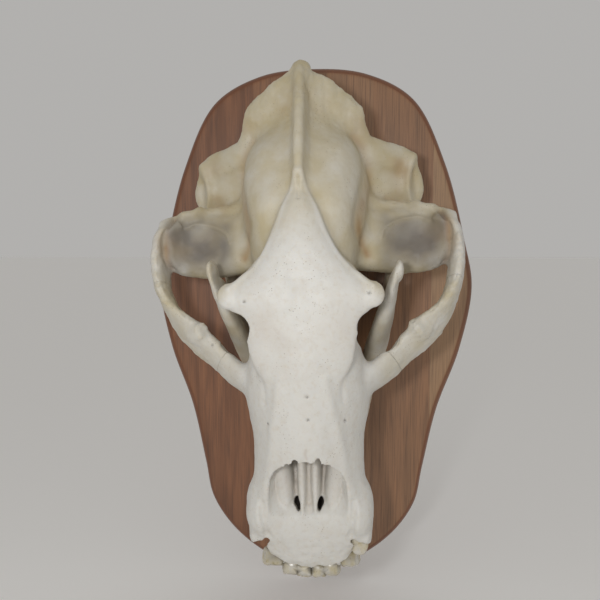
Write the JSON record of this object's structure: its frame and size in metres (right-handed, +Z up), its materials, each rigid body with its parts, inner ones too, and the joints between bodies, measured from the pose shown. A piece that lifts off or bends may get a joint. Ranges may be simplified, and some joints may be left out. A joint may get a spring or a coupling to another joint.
{
  "type": "brown bear skull on a wall plaque",
  "caption": "Life-size brown bear skull with closed lower jaw, worn teeth and high sagittal crest, mounted nose outward on a pear-shaped walnut wall plaque.",
  "frame": {"origin": "middle of the plaque's back face, on the wall", "axes": "+Y into the wall, +Z up along the plaque towards the crest's end of the skull, +X to the viewer's right"},
  "size_m": [0.312, 0.1982, 0.506],
  "materials": {
    "bone": "matte, bleached and cleaned bone",
    "walnut": "satin oiled walnut"
  },
  "bodies": {
    "root": {"cranium": "bone", "zygomatic_left": "bone", "zygomatic_right": "bone", "mandible_left": "bone", "mandible_right": "bone", "plaque": "walnut"}
  },
  "joints": []
}
